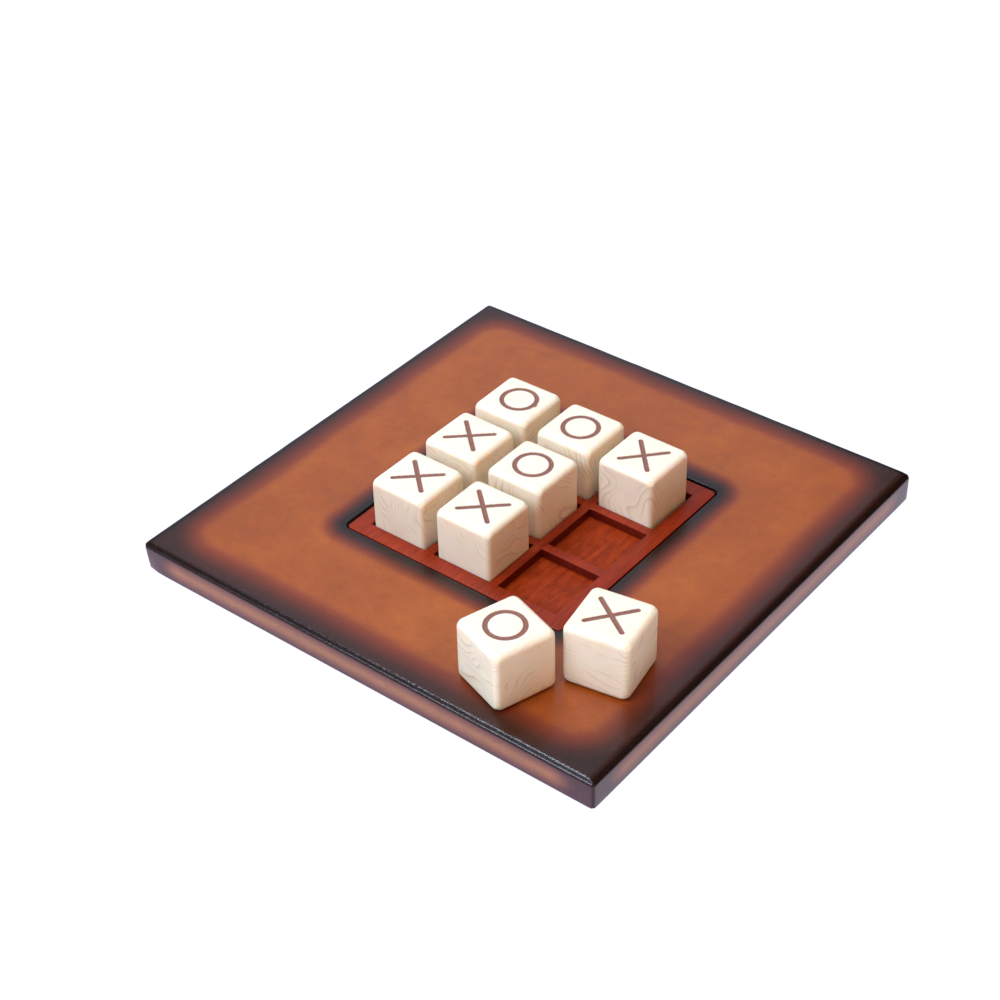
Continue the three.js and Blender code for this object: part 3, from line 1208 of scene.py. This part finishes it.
    def _cross_strips(self, skin: Skin, half: float, section: np.ndarray, height: np.ndarray) -> None:
        """Adds the two strips of a cross, each along its whole stroke, narrowing to nothing over its round ends.

        Along a stroke the half width is the stroke's until the end's centre and then the chord of a half circle. The
        second strip lies a hundredth of a millimetre lower, so the two never share a face.

        Args:
            skin: The skin that gets them.
            half: Half the width of a strip.
            section: Places across the strip, from -1 to 1 over the top and back underneath, as a column.
            height: Heights of those places, as a column.
        """
        reach = math.hypot(*self.cross)
        tip = half * np.sin(np.linspace(0, np.pi / 2, 7))
        along = np.concatenate([-reach - tip[::-1], np.linspace(-reach, reach, 19)[1:-1], reach + tip])
        beyond = np.clip(np.abs(along) - reach, 0, half)
        across = section * np.sqrt(np.maximum(half * half - beyond * beyond, 0))
        for sign, lower in ((1, 0.0), (-1, self.overlap)):
            ux, uy = self.cross[0] / reach, sign * self.cross[1] / reach
            x = self.off[0] + along * ux - across * uy
            y = self.off[1] + along * uy + across * ux
            grid = np.stack([x, y, np.broadcast_to(height - lower, x.shape)], -1)
            skin.add_grid(self.set_down(grid), wrap_rows=True)

    def build(self) -> list[bpy.types.Object]:
        """Builds the cube and the colour in its mark and returns both."""
        return [self.cube(), self.colour()]


@dataclass
class Set:
    """The nine cubes: seven in their pockets, two free on the leather."""

    pitch: float = 35.6
    pocket_floor: float = 8.2
    leather_top: float = 13.5
    seat: float = 0.05

    def cubes(self) -> list[MarkedCube]:
        """Lists the cubes with their places and turns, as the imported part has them.

        Each row gives the mark, the place of the cube's underside, its turn, how far its mark is off centre, and how
        it was cut from the block.

        Returns:
            The cubes, where those of each mark are numbered from 1.
        """
        p, low, high = self.pitch, self.pocket_floor + self.seat, self.leather_top + self.seat
        laid = (
            (Mark.CROSS, (-p, -p - 0.72, low), -0.3, (0.3, 0.0), (84, 80)),
            (Mark.CROSS, (0.72, -p - 0.72, low), 0.1, (0.36, 0.12), (52, 95)),
            (Mark.CROSS, (-p - 0.63, 0.63, low), -0.6, (0.2, 0.12), (25, 40)),
            (Mark.RING, (-0.117, 0.198, low), 0.0, (0.14, 0.16), (72, 70)),
            (Mark.RING, (-p - 0.63, p + 0.585, low), 0.6, (0.6, 0.44), (35, 120)),
            (Mark.RING, (0.0, p + 0.243, low), 0.2, (0.16, -0.24), (80, 60)),
            (Mark.CROSS, (p - 0.702, p - 0.558, low), 89.7, (-0.08, -0.36), (84, 60)),
            (Mark.RING, (59.97, -95.868, high), -18.1, (0.02, 0.0), (33, 176)),
            (Mark.CROSS, (89.899, -66.379, high), 9.9, (0.08, 0.2), (38, 150)),
        )
        count = {mark: 0 for mark in Mark}
        made = []
        for mark, at, turn, off, pour in laid:
            count[mark] += 1
            made.append(MarkedCube(mark, count[mark], at, turn, off, pour))
        return made

    def build(self) -> list[bpy.types.Object]:
        """Builds every cube and returns all the pieces."""
        return [piece for cube in self.cubes() for piece in cube.build()]


def bearing(azimuth: float, elevation: float) -> Vector:
    """The direction at these angles, in degrees, where azimuth 0 is -Y and 90 is +X."""
    a, e = math.radians(azimuth), math.radians(elevation)
    return Vector((math.sin(a) * math.cos(e), -math.cos(a) * math.cos(e), math.sin(e)))


@dataclass(frozen=True)
class Softbox:
    """A square softbox that looks at the middle of the board.

    Azimuth is 0 from -Y and 90 from +X, in degrees; away and size are metres, power is watts.
    """

    name: str
    azimuth: float
    elevation: float
    away: float
    size: float
    power: float
    colour: tuple[float, float, float] = (0.92, 1.01, 1.23)

    def hang(self) -> None:
        """Adds the light to the scene."""
        back = bearing(self.azimuth, self.elevation)
        data = bpy.data.lights.new(self.name, "AREA")
        data.shape, data.size, data.energy, data.color = "SQUARE", self.size, self.power, self.colour
        made = put(self.name, data)
        made.location = back * self.away
        made.rotation_mode = "QUATERNION"
        made.rotation_quaternion = back.to_track_quat("Z", "Y")


@dataclass
class Studio:
    """The stage: a white light table, soft light from above and the left, and the photograph's camera."""

    azimuth: float = 39.05
    elevation: float = 37.62
    distance: float = 924.4
    target: tuple[float, float, float] = (-26.2, 9.3, 0.0)
    slide: Span = (-0.23, 0.23)
    roll: float = 1.47
    lens: float = 72.24
    sensor: float = 36.0
    clip: Span = (0.01, 50.0)
    table_half: float = 3000.0
    table_top: float = -0.05
    sky: Span = (0.75, 0.02)
    sky_band: float = 0.12
    boxes: tuple[Softbox, ...] = (
        Softbox("overhead", 10.0, 81.0, 2.0, 1.2, 23.0),
        Softbox("front", -20.0, 42.0, 3.5, 1.7, 96.0),
        Softbox("shoulder_box", -111.0, 66.0, 2.0, 0.3, 9.0),
        Softbox("back_left", -140.0, 36.0, 2.0, 1.2, 3.6),
        Softbox("warm_low", 75.0, 8.0, 2.0, 1.2, 2.0, (1.0, 0.42, 0.1)),
        Softbox("warm_high", 78.0, 45.0, 2.0, 0.9, 8.5, (1.0, 0.43, 0.08)),
    )

    def camera(self) -> None:
        """Sets up the camera from its angles, its distance to the target and its roll."""
        back, r = bearing(self.azimuth, self.elevation), math.radians(self.roll)
        right = (-back).cross(Vector((0, 0, 1))).normalized()
        down = (-back).cross(right)
        right, down = math.cos(r) * right + math.sin(r) * down, -math.sin(r) * right + math.cos(r) * down
        data = bpy.data.cameras.new("camera")
        data.lens, data.sensor_width = self.lens, self.sensor
        data.clip_start, data.clip_end = self.clip
        made = put("camera", data)
        turn = Matrix((right, -down, back)).transposed()
        place = Vector(self.target) + self.distance * back + self.slide[0] * right - self.slide[1] * down
        made.matrix_world = Matrix.Translation(place * MM) @ turn.to_4x4()
        bpy.context.scene.camera = made

    def table(self) -> bpy.types.Object:
        """Lays the white table just under the board.

        Returns:
            The table.
        """
        skin = Skin()
        x, y = np.meshgrid([-self.table_half, self.table_half], [-self.table_half, self.table_half])
        skin.add_grid(np.stack([x, y, np.full_like(x, self.table_top)], -1))
        made = skin.piece("white_table")
        made.data.materials.append(OpalTable().material())
        return made

    def room(self) -> None:
        """Surrounds the stage with a pale room that is brighter low down than overhead."""
        world = bpy.data.worlds.new("pale_room")
        world.use_nodes = True
        world.node_tree.nodes.clear()
        add = functools.partial(add_node, world.node_tree)
        up = add("SeparateXYZ", add("TexCoord").outputs["Generated"]).outputs[2]
        level = add("MapRange", up, 0.0, self.sky_band, *self.sky)
        add("OutputWorld", add("Background", "#ffffff", level))
        bpy.context.scene.world = world

    def build(self) -> list[bpy.types.Object]:
        """Sets up camera, room, softboxes and table.

        Returns:
            The table, which is the only mesh of the stage.
        """
        bpy.context.scene.view_settings.view_transform = "Standard"
        self.camera()
        self.room()
        for box in self.boxes:
            box.hang()
        return [self.table()]


def main() -> None:
    """Builds every part of the game in order, and the stage round it, and reports each piece."""
    logging.basicConfig(level=logging.INFO, format="%(name)s: %(message)s")
    for maker in (Board(), Tray(), Set(), Studio()):
        for piece in maker.build():
            LOG.info("%s: %d faces", piece.name, len(piece.data.polygons))


if __name__ == "__main__":
    main()
